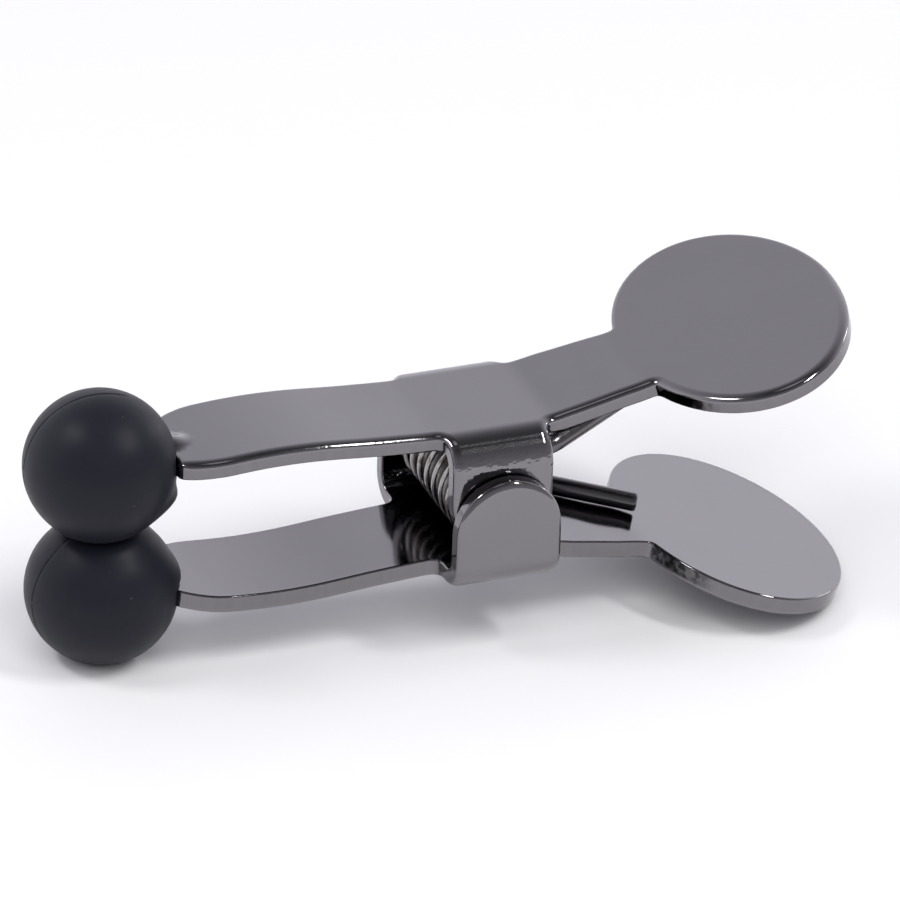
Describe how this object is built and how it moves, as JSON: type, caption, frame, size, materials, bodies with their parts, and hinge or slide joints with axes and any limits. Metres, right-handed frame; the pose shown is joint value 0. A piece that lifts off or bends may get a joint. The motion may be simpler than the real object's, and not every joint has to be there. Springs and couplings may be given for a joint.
{
  "type": "ball-tipped spring clamp",
  "caption": "Ball-tipped spring clamp: pressed-steel levers hinged on a hidden pin and sprung shut, with oval finger pads and rubber ball tips.",
  "frame": {"origin": "centre of the bounding box, midway between the two levers", "axes": "+X from the balls towards the finger pads, Y along the hinge pin, +Z square to the levers on the upper lever's side"},
  "size_m": [0.1112, 0.0418, 0.041],
  "materials": {
    "lever_plate": "dark nickel plating, polished",
    "ball_rubber": "moulded rubber, satin",
    "spring_wire": "oiled black spring wire",
    "pin_steel": "turned, plain"
  },
  "bodies": {
    "lower": {"lower_lever": "lever_plate", "pivot_pin": "pin_steel", "torsion_spring": "spring_wire", "lower_ball": "ball_rubber"},
    "upper": {"upper_lever": "lever_plate", "upper_ball": "ball_rubber"}
  },
  "joints": [
    {"name": "hinge", "type": "hinge", "parent": "lower", "child": "upper", "pos_m": [0.00548, 0, 0], "axis": [0, 1, 0], "range_deg": [0, 38], "stiffness_Nm_per_rad": 1.9, "springref_deg": -20.05, "deforming": ["torsion_spring"]}
  ]
}
